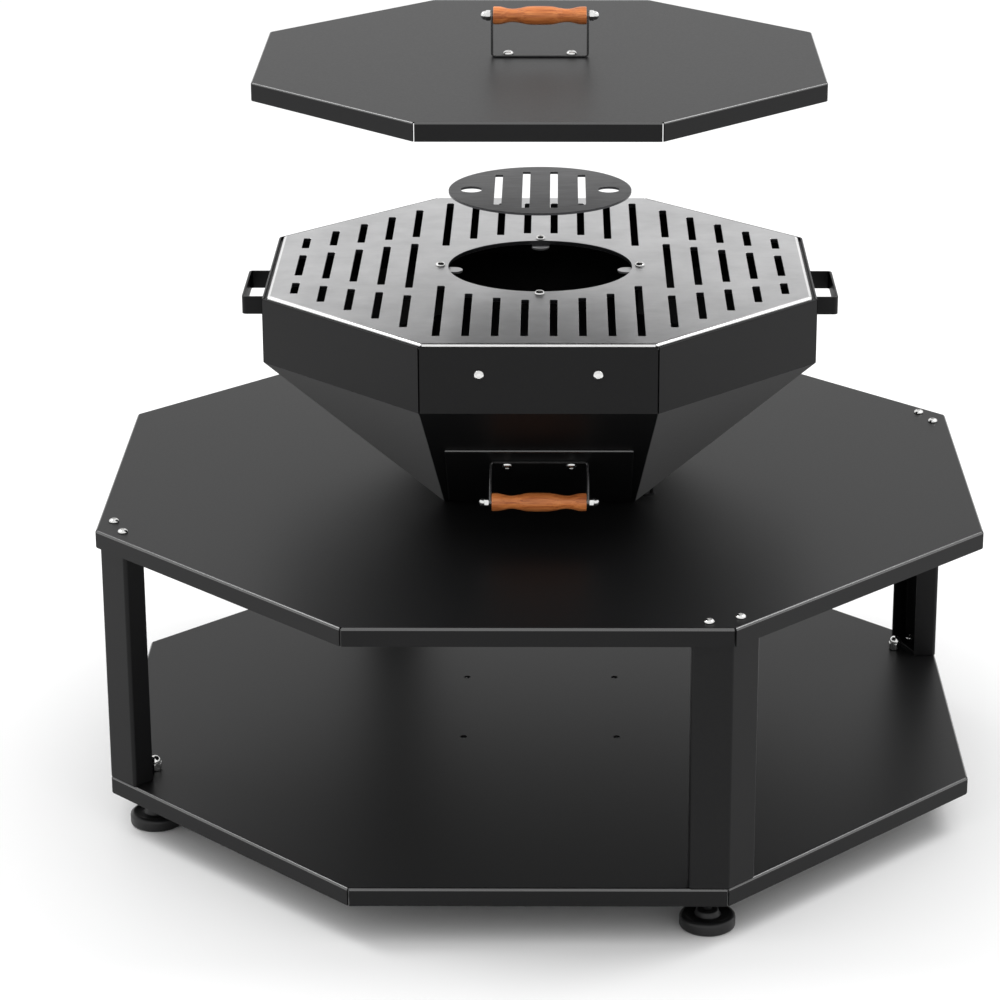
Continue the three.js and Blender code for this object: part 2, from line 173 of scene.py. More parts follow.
def rounded(points, radius, closed=True, steps=5):
    points = [Vector(point) for point in points]
    count = len(points)
    path = []
    for i, corner in enumerate(points):
        if not closed and i in (0, count - 1):
            path.append(corner)
        else:
            path += fillet(points[i - 1], corner, points[(i + 1) % count], radius, steps)
    return path


def slot(x, y0, y1, width=SLOT_WIDTH):
    """A slot along Y with eased corners."""
    return rounded(rectangle(x - width / 2, x + width / 2, y0, y1), 1.8, steps=3)


def octagon(apothem, corner_radius=0):
    corners = arc(0, 0, apothem / COS_EIGHTH, 22.5, 337.5, 7)
    return rounded(corners, corner_radius) if corner_radius else corners


def area(loop):
    return sum(loop[i - 1].x * p.y - p.x * loop[i - 1].y for i, p in enumerate(loop)) / 2


def inset(loop, distance):
    """The loop moved to its left by a distance: into the metal, for outlines and holes alike."""
    moved = []
    for i, point in enumerate(loop):
        back = (point - loop[i - 1]).normalized()
        on = (loop[(i + 1) % len(loop)] - point).normalized()
        left = Vector((-on.y, on.x))
        normal = (left + Vector((-back.y, back.x))).normalized()
        moved.append(point + normal * distance / max(normal.dot(left), 0.3))
    return moved


def lefts_along(path):
    """At each point of an open path, the step to a path that runs one unit to its left."""
    steps = [(b - a).normalized() for a, b in zip(path, path[1:])]
    steps = [steps[0], *steps, steps[-1]]
    lefts = []
    for back, on in zip(steps, steps[1:]):
        left = Vector((-on.y, on.x))
        normal = (left + Vector((-back.y, back.x))).normalized()
        lefts.append(normal / normal.dot(left))
    return lefts


def ribbon(path, thickness):
    """The closed outline of a sheet that lies to the left of an open path."""
    inner = [point + left * thickness for point, left in zip(path, lefts_along(path))]
    return path + inner[::-1]


# Solids

def cap(loops, z, up):
    """A flat face with holes, at a height."""
    flat = [[Vector((p.x, p.y, 0)) for p in loop] for loop in loops]
    points = [Vector((p.x, p.y, z)) for loop in loops for p in loop]
    faces = []
    for a, b, c in tessellate_polygon(flat):
        faces_up = (points[b] - points[a]).cross(points[c] - points[a]).z > 0
        faces.append([a, b, c] if faces_up == up else [c, b, a])
    return points, faces


def plate(outline, z0, z1, holes=(), chamfer=0.3, round_top=None):
    """Sheet metal cut to an outline with holes, all its edges broken by a small chamfer.
    The outline's upper edge can have a larger round."""
    loops = [outline if area(outline) > 0 else outline[::-1]]
    loops += [hole if area(hole) < 0 else hole[::-1] for hole in holes]
    shapes, lower, upper = [], [], []
    for i, loop in enumerate(loops):
        radius, steps = (round_top, 6) if round_top and i == 0 else (chamfer, 1)
        levels = [(z0, inset(loop, chamfer)), (z0 + chamfer, loop)]
        for step in range(steps + 1):
            angle = math.radians(90) * step / steps
            height = z1 - radius + radius * math.sin(angle)
            levels.append((height, inset(loop, radius * (1 - math.cos(angle)))))
        lower.append(levels[0][1])
        upper.append(levels[-1][1])
        count = len(loop)
        points = [Vector((p.x, p.y, z)) for z, ring in levels for p in ring]
        faces = []
        for level in range(len(levels) - 1):
            for k in range(count):
                a, b = level * count + k, level * count + (k + 1) % count
                faces.append([a, b, b + count, a + count])
        shapes.append((points, faces))
    return joined(cap(lower, z0, False), cap(upper, z1, True), *shapes)


def turned(rings, sides=48, closed=False):
    """Rings of (height, radius) about Z. A radius may be a function of the angle."""
    points, faces, numbers = [], [], []
    for z, radius in rings:
        if radius == 0:
            numbers.append([len(points)] * sides)
            points.append(Vector((0, 0, z)))
            continue
        numbers.append(list(range(len(points), len(points) + sides)))
        for i in range(sides):
            angle = TURN * i / sides
            r = radius(angle) if callable(radius) else radius
            points.append(Vector((r * math.cos(angle), r * math.sin(angle), z)))
    pairs = list(zip(numbers, numbers[1:]))
    if closed:
        pairs.append((numbers[-1], numbers[0]))
    for lower, upper in pairs:
        for i in range(sides):
            j = (i + 1) % sides
            face = [lower[i], lower[j], upper[j], upper[i]]
            faces.append([v for k, v in enumerate(face) if v != face[k - 1]])
    return points, faces


def smooth_profile(knots, steps=5):
    """Points on a smooth curve through (height, radius) knots."""
    knots = [Vector(knot) for knot in knots]
    curve = []
    for i in range(len(knots) - 1):
        a, b = knots[i], knots[i + 1]
        before = knots[max(i - 1, 0)]
        after = knots[min(i + 2, len(knots) - 1)]
        for k in range(steps):
            t = k / steps
            lean_a, lean_b = (b - before) / 2, (after - a) / 2
            point = (2 * t**3 - 3 * t**2 + 1) * a + (t**3 - 2 * t**2 + t) * lean_a
            point += (3 * t**2 - 2 * t**3) * b + (t**3 - t**2) * lean_b
            curve.append((point.x, point.y))
    curve.append((knots[-1].x, knots[-1].y))
    return curve


# Fasteners

def hexagon(flats, limit=math.inf):
    def radius(angle):
        from_flat = (angle + TURN / 12) % (TURN / 6) - TURN / 12
        return min(flats / 2 / math.cos(from_flat), limit)
    return radius


def thread(radius, pitch, z0, z1):
    """Rings of a screw thread between two heights."""
    def at(z):
        def r(angle):
            phase = (z / pitch - angle / TURN) % 1
            return radius - 0.55 * pitch * abs(2 * phase - 1)
        return r
    count = max(int((z1 - z0) / pitch * 6), 1)
    return [(z0 + (z1 - z0) * i / count, at(z0 + (z1 - z0) * i / count)) for i in range(count + 1)]


def hex_sides(flats, z0, z1):
    """Rings of a hexagon with its corners turned off at both ends."""
    corner = flats / 2 / math.cos(TURN / 12)
    face = 0.95 * flats / 2
    rise = 0.3 * (corner - face)
    return [
        (z0, face), (z0 + rise, hexagon(flats, (face + corner) / 2)), (z0 + 2.6 * rise, hexagon(flats)),
        (z1 - 2.6 * rise, hexagon(flats)), (z1 - rise, hexagon(flats, (face + corner) / 2)), (z1, face),
    ]


def button_bolt(grip, nut_height=6.5, past=1.5):
    """An M8 button-head bolt and its nut. The underside of the head is at 0 and the shank runs down."""
    rim = 0.6
    crown = math.radians(62)
    dome = []
    for i in range(8):
        angle = crown * i / 7
        height = rim + (HEAD_HEIGHT - rim) * math.sin(angle) / math.sin(crown)
        dome.append((height, HEAD_RADIUS * math.cos(angle)))
    socket = [(HEAD_HEIGHT - 0.05, hexagon(5)), (3.2, hexagon(4.8)), (2.8, 0)]
    end = -grip - nut_height - past
    shank = [(end, 0), (end, 3.2), *thread(4, 1.25, end + 0.6, -grip + 0.5), (-grip + 1, 4), (0, 4), (0, 6.6)]
    nut = [(-grip - nut_height, 4.1), *hex_sides(13, -grip - nut_height, -grip), (-grip, 4.1)]
    return joined(turned(shank + dome + socket), turned(nut, closed=True))


def cap_nut(flats, hex_height, height, bore, bore_depth):
    """A domed nut that stands on 0."""
    dome = []
    base = hex_height + 0.06 * height
    for i in range(9):
        angle = math.radians(90) * i / 8
        radius = 0.46 * flats * math.cos(angle) ** 0.9 if i < 8 else 0
        dome.append((base + (height - base) * math.sin(angle), radius))
    inside = [(bore_depth, 0), (bore_depth, bore), (0.8, bore), (0, bore + 0.8)]
    return turned([*inside, *hex_sides(flats, 0, hex_height), (hex_height, 0.46 * flats), *dome])


# Folded sheet

def fold(shape, path):
    """Wraps a flat plate round a path: X runs along the path, Y is its width and Z its thickness.
    The path lies in the XZ plane, and the plate's upper side goes to its left."""
    lengths = [0]
    for a, b in zip(path, path[1:]):
        lengths.append(lengths[-1] + (b - a).length)
    lefts = lefts_along(path)
    mesh = bmesh.new()
    points, faces = shape
    verts = [mesh.verts.new(point) for point in points]
    for face in faces:
        mesh.faces.new([verts[i] for i in face])
    bmesh.ops.remove_doubles(mesh, verts=mesh.verts, dist=1e-4)
    for length in lengths[1:-1]:
        everything = mesh.verts[:] + mesh.edges[:] + mesh.faces[:]
        bmesh.ops.bisect_plane(mesh, geom=everything, plane_co=(length, 0, 0), plane_no=(1, 0, 0), dist=1e-4)
    folded = []
    mesh.verts.index_update()
    for vert in mesh.verts:
        s = vert.co.x
        i = max(k for k in range(len(path) - 1) if lengths[k] <= s + 1e-4 or k == 0)
        t = (s - lengths[i]) / (lengths[i + 1] - lengths[i])
        on_path = path[i].lerp(path[i + 1], t) + lefts[i].lerp(lefts[i + 1], t) * vert.co.z
        folded.append(Vector((on_path.x, vert.co.y, on_path.y)))
    result = folded, [[vert.index for vert in face.verts] for face in mesh.faces]
    mesh.free()
    return result


def path_length(path):
    return sum((b - a).length for a, b in zip(path, path[1:]))


def eight_sides(profile, slit, faces):
    """One side's profile of (distance, height), drawn out between two corners and set round an octagon.
    Points 2i and 2i + 1 are the two ends of the profile's point i. A slit parts the sides at the corners."""
    points = []
    for distance, z in profile:
        half = distance * TAN_EIGHTH - slit / 2
        points += [Vector((distance, -half, z)), Vector((distance, half, z))]
    return joined(*[rotated((points, faces), 45 * side) for side in range(8)])


def folded_rim(profile, slit):
    """Eight folded sides of sheet: the outer surface only."""
    faces = [[2 * i, 2 * i + 2, 2 * i + 3, 2 * i + 1] for i in range(len(profile) - 1)]
    return eight_sides(profile, slit, faces)


def octagon_ring(profile, slit=0):
    """Eight solid bars. Their profile is listed anticlockwise."""
    count = len(profile)
    faces = [list(range(0, 2 * count, 2)), list(range(2 * count - 1, 0, -2))]
    for i in range(count):
        a, b = 2 * i, 2 * ((i + 1) % count)
        faces.append([a, a + 1, b + 1, b])
    return eight_sides(profile, slit, faces)


def bend(apothem, top, radius, steps=6):
    """The fold at the top of a skirt, as (distance, height) from the flat to the upright."""
    curve = arc(apothem - radius, top - radius, radius, 90, 0, steps)
    return [(point.x, point.y) for point in curve]


def pan(apothem, top, bottom, radius, slit, holes):
    """An octagonal top with a folded skirt: the outer surface only."""
    distance = apothem - radius
    outline = []
    for side in range(8):
        for end in (-1, 1):
            half = end * (distance * TAN_EIGHTH - slit / 2)
            outline.append(Matrix.Rotation(math.radians(45 * side), 2) @ Vector((distance, half)))
    loops = [outline] + [hole[::-1] for hole in holes]
    skirt = folded_rim(bend(apothem, top, radius) + [(apothem, bottom)], slit)
    return joined(cap(loops, top, True), skirt)


# Materials

def material(name, color, roughness, metallic=0.0, ior=1.45, **constants):
    """A material whose constants are set, with its node tree, for a maker to add detail to."""
    made = bpy.data.materials.new(name)
    made.use_nodes = True
    shader = made.node_tree.nodes["Principled BSDF"]
    shader.inputs["Base Color"].default_value = (*color, 1)
    shader.inputs["Roughness"].default_value = roughness
    shader.inputs["Metallic"].default_value = metallic
    shader.inputs["IOR"].default_value = ior
    for socket, value in constants.items():
        shader.inputs[socket.replace("_", " ").title()].default_value = value
    return made, shader


def noise(tree, scale, stretch=(1, 1, 1), detail=4.0, roughness=0.5):
    """Noise in the piece's own coordinates. Scale is per metre."""
    nodes, links = tree.nodes, tree.links
    where = nodes.new("ShaderNodeTexCoord")
    mapping = nodes.new("ShaderNodeMapping")
    mapping.inputs["Scale"].default_value = stretch
    texture = nodes.new("ShaderNodeTexNoise")
    texture.inputs["Scale"].default_value = scale
    texture.inputs["Detail"].default_value = detail
    texture.inputs["Roughness"].default_value = roughness
    links.new(where.outputs["Object"], mapping.inputs["Vector"])
    links.new(mapping.outputs["Vector"], texture.inputs["Vector"])
    return texture.outputs["Fac"]


def ranged(tree, value, low_value, high_value, start=0.3, end=0.7):
    """A value between start and end, brought to between two others."""
    node = tree.nodes.new("ShaderNodeMapRange")
    node.inputs["From Min"].default_value = start
    node.inputs["From Max"].default_value = end
    node.inputs["To Min"].default_value = low_value
    node.inputs["To Max"].default_value = high_value
    tree.links.new(value, node.inputs["Value"])
    return node.outputs["Result"]


def blended(tree, value, stops):
    """A colour taken from stops of (position, colour)."""
    ramp = tree.nodes.new("ShaderNodeValToRGB")
    elements = ramp.color_ramp.elements
    while len(elements) < len(stops):
        elements.new(0.5)
    for element, (position, color) in zip(elements, stops):
        element.position = position
        element.color = (*color, 1)
    tree.links.new(value, ramp.inputs["Fac"])
    return ramp.outputs["Color"]


def colored(tree, shader, value, stops):
    tree.links.new(blended(tree, value, stops), shader.inputs["Base Color"])


def raised(tree, shader, height, distance, strength):
    bump = tree.nodes.new("ShaderNodeBump")
    bump.inputs["Distance"].default_value = distance
    bump.inputs["Strength"].default_value = strength
    tree.links.new(height, bump.inputs["Height"])
    tree.links.new(bump.outputs["Normal"], shader.inputs["Normal"])


def powder_coat(name, roughness=0.4, ior=1.26, **constants):
    made, shader = material(name, (0.006, 0.006, 0.0063), roughness, ior=ior, **constants)
    tree = made.node_tree
    grain = noise(tree, 260, detail=3)
    tree.links.new(ranged(tree, grain, roughness - 0.015, roughness + 0.015), shader.inputs["Roughness"])
    colored(tree, shader, grain, [(0.3, (0.0055, 0.0055, 0.0058)), (0.7, (0.0068, 0.0068, 0.0071))])
    raised(tree, shader, noise(tree, 700, detail=2), 0.00002, 0.4)
    return made


def rolled_steel(name, dark, light, smooth, rough, streaks=(0.04, 1, 1)):
    made, shader = material(name, light, rough, metallic=1.0)
    tree = made.node_tree
    clouds = noise(tree, 14, detail=6, roughness=0.6)
    grain = noise(tree, 900, stretch=streaks, detail=3)
    colored(tree, shader, clouds, [(0.3, dark), (0.7, light)])
    tree.links.new(ranged(tree, grain, smooth, rough), shader.inputs["Roughness"])
    raised(tree, shader, grain, 0.00002, 0.4)
    return made


def polished_steel():
    made, shader = material("polished_stainless", (0.78, 0.78, 0.77), 0.16, metallic=1.0)
    tree = made.node_tree
    tree.links.new(ranged(tree, noise(tree, 260), 0.1, 0.22), shader.inputs["Roughness"])
    colored(tree, shader, noise(tree, 120), [(0.3, (0.70, 0.70, 0.69)), (0.7, (0.83, 0.83, 0.82))])
    raised(tree, shader, noise(tree, 1500, detail=1), 0.00001, 0.3)
    return made


def turned_wood():
    made, shader = material("oiled_wood", (0.42, 0.15, 0.05), 0.4, ior=1.45)
    tree = made.node_tree
    grain = noise(tree, 420, stretch=(0.06, 1, 1), detail=6, roughness=0.62)
    bands = noise(tree, 70, stretch=(0.12, 1, 1), detail=3)
    fibres = [(0.3, (0.36, 0.09, 0.022)), (0.48, (0.64, 0.2, 0.055)), (0.7, (0.82, 0.31, 0.1))]
    color = blended(tree, grain, fibres)
    tint = blended(tree, bands, [(0.35, (0.72, 0.66, 0.6)), (0.65, (1.12, 1.1, 1.05))])
    mix = tree.nodes.new("ShaderNodeMix")
    mix.data_type = "RGBA"
    mix.blend_type = "MULTIPLY"
    mix.inputs["Factor"].default_value = 1.0
    tree.links.new(color, mix.inputs["A"])
    tree.links.new(tint, mix.inputs["B"])
    tree.links.new(mix.outputs["Result"], shader.inputs["Base Color"])
    tree.links.new(ranged(tree, grain, 0.5, 0.34), shader.inputs["Roughness"])
    raised(tree, shader, grain, 0.00008, 0.5)
    return made


def moulded_plastic():
    made, shader = material("moulded_plastic", (0.009, 0.009, 0.0095), 0.36, ior=1.42)
    tree = made.node_tree
    colored(tree, shader, noise(tree, 40), [(0.3, (0.007, 0.007, 0.0075)), (0.7, (0.012, 0.012, 0.0125))])
    tree.links.new(ranged(tree, noise(tree, 60), 0.32, 0.42), shader.inputs["Roughness"])
    raised(tree, shader, noise(tree, 1800, detail=1), 0.00004, 0.5)
    return made


COAT = powder_coat("powder_coat")
# The coat with a sheen added, for the hopper's sides and back: a painted sheen that lights them more than the
# front.
SHEEN_LIT_COAT = powder_coat("powder_coat_with_painted_sheen", sheen_weight=0.22, sheen_roughness=0.5)
# The coat made smoother and far more reflective, for bends and edges: painted highlight lines along them.
BEND_HIGHLIGHT_COAT = powder_coat("powder_coat_with_painted_bend_highlight", roughness=0.25, ior=2.1)
GRILL_STEEL = rolled_steel("grill_steel", (0.44, 0.44, 0.445), (0.56, 0.56, 0.565), 0.3, 0.4)
# Light steel for the grill plate's rounded rim: a painted highlight along its edge.
RIM_HIGHLIGHT_STEEL = rolled_steel(
    "steel_with_painted_rim_highlight", (0.78, 0.78, 0.78), (0.92, 0.92, 0.92), 0.26, 0.36, streaks=(1, 1, 0.06),
)
GRATE_STEEL = rolled_steel("grate_steel", (0.045, 0.045, 0.048), (0.07, 0.07, 0.074), 0.3, 0.42)
STAINLESS = polished_steel()
WOOD = turned_wood()
PLASTIC = moulded_plastic()

SLOTS = {
    "black_coat": COAT, "grill_steel": GRILL_STEEL, "grate_steel": GRATE_STEEL,
    "stainless_fasteners": STAINLESS, "turned_wood": WOOD, "foot_plastic": PLASTIC,
}


# Pieces

def piece(name, shape, body, slot_name, sheet=0, finishes=(), round_edges=0, flat_bends=0):
    """A shape as an object that stands for a CAD node and rides on its body.
    A sheet thickness makes an outer surface solid.
    A finish is a material and a test of a face's centre and normal, true for the faces that it covers."""
    points, faces = shape
    mesh = bpy.data.meshes.new(name)
    mesh.from_pydata([point * MM for point in points], [], faces)
    whole = bmesh.new()
    whole.from_mesh(mesh)
    bmesh.ops.remove_doubles(whole, verts=whole.verts, dist=1e-6)
    whole.to_mesh(mesh)
    whole.free()
    mesh.shade_smooth()
    mesh.set_sharp_from_angle(angle=math.radians(38))
    mesh.materials.append(SLOTS[slot_name])
    for number, (covering, covers) in enumerate(finishes, 1):
        mesh.materials.append(covering)
        for face in mesh.polygons:
            if covers(face.center / MM, face.normal):
                face.material_index = number
    made = bpy.data.objects.new(name, mesh)
    bpy.context.scene.collection.objects.link(made)
    if flat_bends:
        modifier = made.modifiers.new("bends", "BEVEL")
        modifier.width = flat_bends * MM
        modifier.segments = 4
        modifier.limit_method = "ANGLE"
        modifier.angle_limit = math.radians(12)
    if sheet:
        modifier = made.modifiers.new("sheet", "SOLIDIFY")
        modifier.thickness = sheet * MM
        modifier.offset = -1
        modifier.use_even_offset = True
    if round_edges:
        modifier = made.modifiers.new("broken_edges", "BEVEL")
        modifier.width = round_edges * MM
        modifier.segments = 2
        modifier.limit_method = "ANGLE"
        modifier.angle_limit = math.radians(60)
    modifier = made.modifiers.new("normals", "WEIGHTED_NORMAL")
    modifier.keep_sharp = True
    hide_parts(name.removesuffix("_look"))
    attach(made, body)


def upright(centre, normal):
    return abs(normal.z) < 0.6


def on_bend(centre, normal):
    return 0.1 < normal.z < 0.99


# Table

def table_pan(node, holes):
    size = high(node)
    shape = pan(size.x, size.z, low(node).z, FOLD_RADIUS, TABLE_SLIT, holes)
    # Bends of the pan take the more reflective coat: painted highlight lines along the folds.
    piece(node + "_look", shape, "table", "black_coat",
          sheet=TABLE_SHEET, finishes=[(BEND_HIGHLIGHT_COAT, on_bend)], round_edges=0.4)


def table_pans():
    leg_holes = []
    for place in LEG_ANGLES:
        for side in "ab":
            centre = middle(f"top_bolt_{place}_{side}")
            leg_holes.append(circle(centre.x, centre.y, M8_HOLE, 24))
    air = [circle(x, y, AIR_HOLE_RADIUS) for x, y in AIR_HOLES]
    table_pan("table_top", leg_holes + air)

    shelf_holes = []
    for place in LEG_ANGLES:
        centre = middle(f"foot_nut_{place}")
        shelf_holes.append(circle(centre.x, centre.y, STUD_HOLE))
    for x in (-SHELF_HOLE_PLACE, SHELF_HOLE_PLACE):
        for y in (-SHELF_HOLE_PLACE, SHELF_HOLE_PLACE):
            shelf_holes.append(circle(x, y, SHELF_HOLE, 24))
    table_pan("lower_shelf", leg_holes + shelf_holes)


def legs():
    corner = high("lower_shelf").x / COS_EIGHTH
    inside = 2.5

    def folded_in(side, along, depth):
        normal = math.radians(22.5 * side)
        tangent = normal + side * math.pi / 2
        return Vector((
            corner + along * math.cos(tangent) - depth * math.cos(normal),
            along * math.sin(tangent) - depth * math.sin(normal),
        ))

    corners = [
        folded_in(-1, LEG_FLANGE, LEG_LIP), folded_in(-1, LEG_FLANGE, 0), Vector((corner, 0)),
        folded_in(1, LEG_FLANGE, 0), folded_in(1, LEG_FLANGE, LEG_LIP),
    ]
    outline = ribbon(rounded(corners, 5, closed=False), LEG_SHEET)
    tab_half, tab_depth = LEG_FLANGE - inside, LEG_LIP - LEG_SHEET
    tab_corners = [
        folded_in(-1, tab_half, tab_depth), folded_in(-1, tab_half, inside), Vector((corner - LEG_SHEET, 0)),
        folded_in(1, tab_half, inside), folded_in(1, tab_half, tab_depth),
    ]
    for place, angle in LEG_ANGLES.items():
        bottom, top = low(f"leg_{place}").z, high(f"leg_{place}").z
        holes = []
        for side in "ab":
            centre = Matrix.Rotation(math.radians(-angle), 4, "Z") @ middle(f"shelf_bolt_{place}_{side}")
            holes.append(circle(centre.x, centre.y, M8_HOLE, 24))
        shape = joined(
            plate(outline, bottom, top, chamfer=0.4),
            plate(tab_corners, bottom, bottom + LEG_SHEET, holes),
            plate(tab_corners, top - LEG_SHEET, top, holes),
        )
        piece(f"leg_{place}_look", rotated(shape, angle), "table", "black_coat")


def feet():
    pad = [
        (0, 0), (0, 32), (0.6, 34.5), (2.2, 36.4), (4.5, 37), (13.5, 37), (15.4, 36.6), (17, 35.4),
        (18.2, 33.6), (18.6, 31.5), (18.2, 29.5), (17.2, 27), (16.8, 20), (17.4, 17.5), (19.5, 16),
        (23, 15), (24.4, 14), (25, 12.2), (25, 5.2),
    ]
    for place in LEG_ANGLES:
        nut, foot = f"foot_nut_{place}", f"foot_{place}"
        centre = middle(nut)
        nut_shape = cap_nut(18, 11, 20, STUD_HOLE, 15)
        nut_shape = shifted(nut_shape, centre.x, centre.y, low(nut).z)
        piece(nut + "_look", nut_shape, "table", "stainless_fasteners")

        top = high(foot).z
        stud = [*thread(6, 1.75, 25.5, top - 1), (top, 4.6), (top, 0)]
        foot_shape = shifted(turned(pad + stud, 64), centre.x, centre.y)
        piece(foot + "_look", foot_shape, foot, "foot_plastic")


def leg_bolts():
    for kind in ("top_bolt", "shelf_bolt"):
        for place in LEG_ANGLES:
            for side in "ab":
                name = f"{kind}_{place}_{side}"
                centre = middle(name)
                shape = shifted(button_bolt(6.4), centre.x, centre.y, high(name).z - HEAD_HEIGHT)
                piece(name + "_look", shape, "table", "stainless_fasteners")


# Bowl

SLOPE = (high("bowl_hopper").x - HOPPER_BASE) / (high("bowl_hopper").z - low("bowl_hopper").z)
FACE_LENGTH = math.hypot(1, SLOPE)


def front_face(z, out=0):
    """Where the hopper's front face, moved outwards, passes a height."""
    return -(HOPPER_BASE + SLOPE * (z - low("bowl_hopper").z)) - out * FACE_LENGTH


def face_frame(z):
    """X across the front face, Y up its slope and Z out of it, from its middle at a height."""
    up = Vector((0, -SLOPE, 1)) / FACE_LENGTH
    out = Vector((0, -1, -SLOPE)) / FACE_LENGTH
    matrix = Matrix((Vector((1, 0, 0)), up, out)).transposed().to_4x4()
    matrix.translation = Vector((0, front_face(z), z))
    return matrix


def flat_face(loops, outwards):
    """A flat face in space with holes, facing outwards."""
    points = [point for loop in loops for point in loop]
    faces = []
    for a, b, c in tessellate_polygon(loops):
        normal = (points[b] - points[a]).cross(points[c] - points[a])
        faces.append([a, b, c] if normal.dot(outwards) > 0 else [c, b, a])
    return points, faces


def hopper():
    rim_size, bottom = high("bowl_hopper"), low("bowl_hopper").z
    rim = [Vector((p.x, p.y, rim_size.z)) for p in octagon(rim_size.x)]
    base = [
        Vector((HOPPER_BASE, HOPPER_BASE, bottom)), Vector((-HOPPER_BASE, HOPPER_BASE, bottom)),
        Vector((-HOPPER_BASE, -HOPPER_BASE, bottom)), Vector((HOPPER_BASE, -HOPPER_BASE, bottom)),
    ]
    to_face = face_frame(rim_size.z)
    mouth_ends = [(z - rim_size.z) * FACE_LENGTH for z in (MOUTH_BOTTOM, MOUTH_TOP)]
    mouth = rounded(rectangle(-MOUTH_HALF, MOUTH_HALF, *mouth_ends), 6)
    mouth = [to_face @ Vector((p.x, p.y, 0)) for p in mouth]
    shapes = []
    for side in range(4):
        low_a, low_b = base[side], base[(side + 1) % 4]
        high_a, high_b, high_c = rim[2 * side], rim[2 * side + 1], rim[(2 * side + 2) % 8]
        outwards = Vector((low_a.x + low_b.x, low_a.y + low_b.y, 0))
        loops = [[low_a, low_b, high_c, high_b]]
        if side == 2:
            loops.append(mouth)
        shapes.append(flat_face(loops, outwards))
        shapes.append(flat_face([[low_a, high_b, high_a]], Vector((low_a.x, low_a.y, 0))))
    floor = [Vector((p.x, p.y)) for p in base]
    air = [circle(x, y, AIR_HOLE_RADIUS)[::-1] for x, y in AIR_HOLES]
    shapes.append(cap([floor] + air, bottom, False))

    # The hopper's sides and back take the sheen coat: painted light that makes them lighter than its front.
    def beside_the_drawer(centre, normal):
        return abs(normal.x) > 0.3 or normal.y > 0.3

    piece("bowl_hopper_look", joined(*shapes), "bowl", "black_coat", sheet=HOPPER_SHEET,
          finishes=[(SHEEN_LIT_COAT, beside_the_drawer)], round_edges=0.3, flat_bends=1.2)


def band():
    """Eight panels with rounded upper edges, parted at the corners, on a lining and the grill's ledge."""
    size, bottom = high("bowl_band"), low("bowl_band").z
    inner = size.x - BAND_SHEET
    round_edge = [(p.x, p.y) for p in arc(size.x - BAND_ROUND, size.z - BAND_ROUND, BAND_ROUND, 0, 90, 6)]
    wall = [(inner, bottom), (size.x, bottom), *round_edge, (inner + 0.3, size.z), (inner, size.z - 0.3)]
    under_ledge = LEDGE_TOP - BAND_SHEET
    lining = [
        (inner - 1, bottom), (inner - 0.1, bottom), (inner - 0.1, under_ledge), (inner - 1, under_ledge),
    ]
    ledge = [(LEDGE_INNER, under_ledge), (inner, under_ledge), (inner, LEDGE_TOP), (LEDGE_INNER, LEDGE_TOP)]
    shape = joined(octagon_ring(wall, BAND_SLIT), octagon_ring(lining), octagon_ring(ledge))
    piece("bowl_band_look", shape, "bowl", "black_coat")
    for side in ("left", "right"):
        name = f"band_bolt_{side}"
        centre = middle(name)
        bolt = rotated(button_bolt(BAND_SHEET + 2 * CLEARANCE), 90, "X")
        bolt = shifted(bolt, centre.x, low(name).y + HEAD_HEIGHT, centre.z)
        piece(name + "_look", bolt, "bowl", "stainless_fasteners")


def side_handles():
    for side, angle in (("left", 180), ("right", 0)):
        node = f"side_handle_{side}"
        inner, reach = sorted((abs(low(node).x), abs(high(node).x)))
        half = high(node).y
        width = high(node).z - low(node).z
        centre = STRAP_SHEET / 2
        corners = [(inner, centre - half), (reach - centre, centre - half),
                   (reach - centre, half - centre), (inner, half - centre)]
        path = rounded(corners, 4.5, closed=False)
        strip = plate(rectangle(0, path_length(path), -width / 2, width / 2), -centre, centre, chamfer=0.4)
        shape = rotated(rotated(fold(strip, path), 90, "X"), angle)
        piece(node + "_look", shifted(shape, 0, 0, middle(node).z), "bowl", "black_coat")


def charcoal_grate():
    bottom, top = low("charcoal_grate").z, high("charcoal_grate").z
    apothem = high("charcoal_grate").x
    middle_bar, border, diagonal_border, width = 15, 20, 28, 14
    slots = []
    for x in range(-240, 241, 40):
        far = min(apothem - border, apothem * math.sqrt(2) - abs(x) - diagonal_border)
        slots += [slot(x, middle_bar, far, width), slot(x, -far, -middle_bar, width)]
    shape = plate(octagon(apothem, 4), bottom, top, slots, chamfer=0.4)
    piece("charcoal_grate_look", shape, "charcoal_grate", "grate_steel")


def air_damper():
    """A plate over the air holes, with a round-ended tab out to the right that carries an upright pin."""
    level = low("air_damper").z
    end = high("air_damper").x
    left, right, back = -20, 90, -30
    tab_back, tab_front = DAMPER_TAB_Y + DAMPER_TAB_HALF, DAMPER_TAB_Y - DAMPER_TAB_HALF
    corners = [(right, tab_back), (right, back), (left, back), (left, tab_front), (right, tab_front)]
    tab = arc(end - DAMPER_TAB_HALF, DAMPER_TAB_Y, DAMPER_TAB_HALF, -90, 90, 10)
    flat = plate(tab + rounded(corners, 1.5), level, level + DAMPER_SHEET)
    pin = turned([(0, 0), (0, 2.5), (8.5, 2.5), (9.4, 2.2), (9.9, 1.4), (9.9, 0)], 24)
    shape = joined(flat, shifted(pin, end - 5, DAMPER_TAB_Y, level))
    piece("air_damper_look", shape, "air_damper", "black_coat")


# Handles

